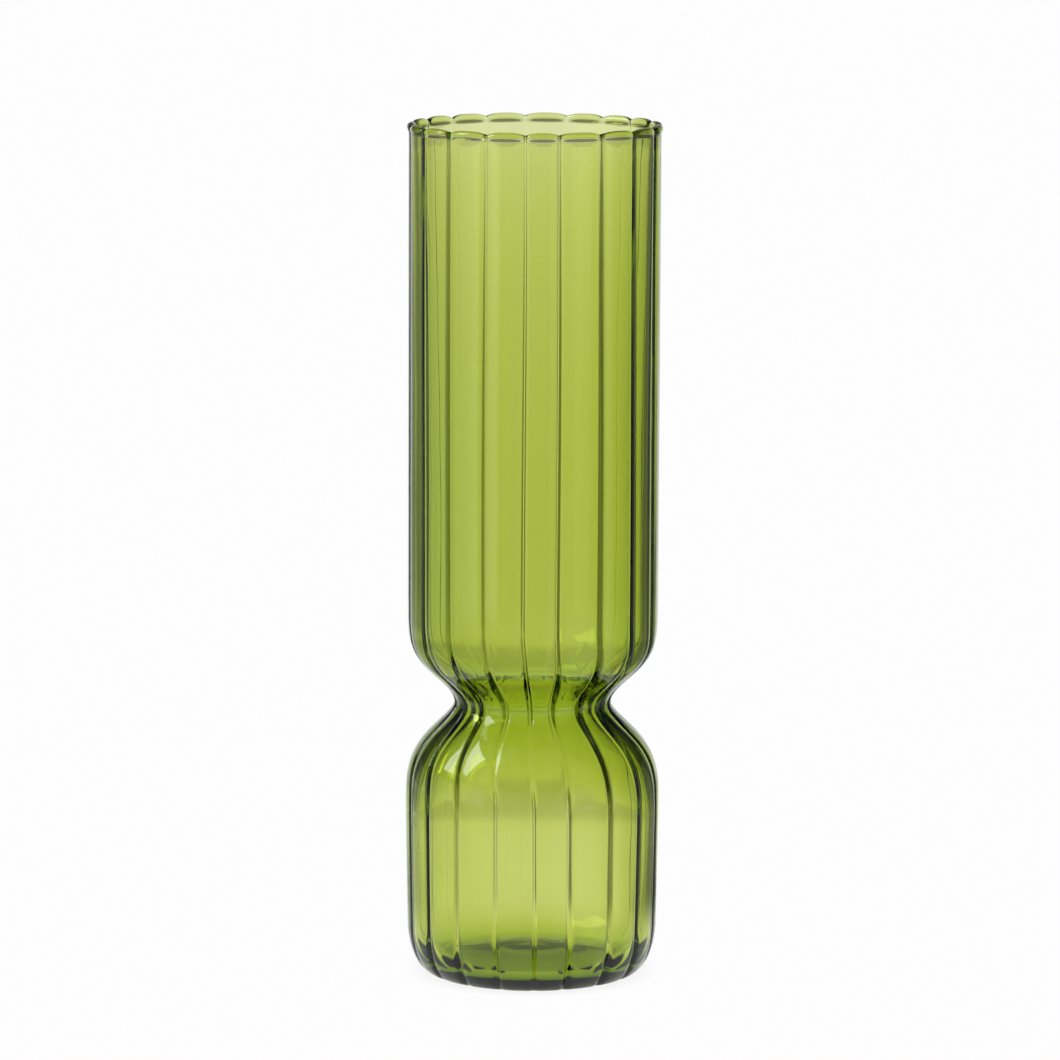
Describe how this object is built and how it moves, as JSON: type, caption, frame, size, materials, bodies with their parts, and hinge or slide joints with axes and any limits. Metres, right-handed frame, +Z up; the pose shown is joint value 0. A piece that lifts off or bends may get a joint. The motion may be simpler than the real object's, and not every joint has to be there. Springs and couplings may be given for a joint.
{
  "type": "glass bud vase",
  "caption": "Tall bud vase in clear green fluted glass: a straight tube over a narrow pinched waist and a rounded bulb, with a scalloped rim and a punted base.",
  "frame": {"origin": "centre of the foot ring, on the surface that the vase stands on", "axes": "+Z up along the vase's axis towards the open rim, -Y towards the front, +X to the right seen from the front"},
  "size_m": [0.0594, 0.0593, 0.2],
  "materials": {
    "green_glass": "clear lime green glass, smooth and fire-polished"
  },
  "bodies": {
    "root": {"rim_bead": "green_glass", "upper_tube": "green_glass", "upper_shoulder": "green_glass", "lower_shoulder": "green_glass", "bulb_wall": "green_glass", "heel": "green_glass", "punted_floor": "green_glass"}
  },
  "joints": []
}
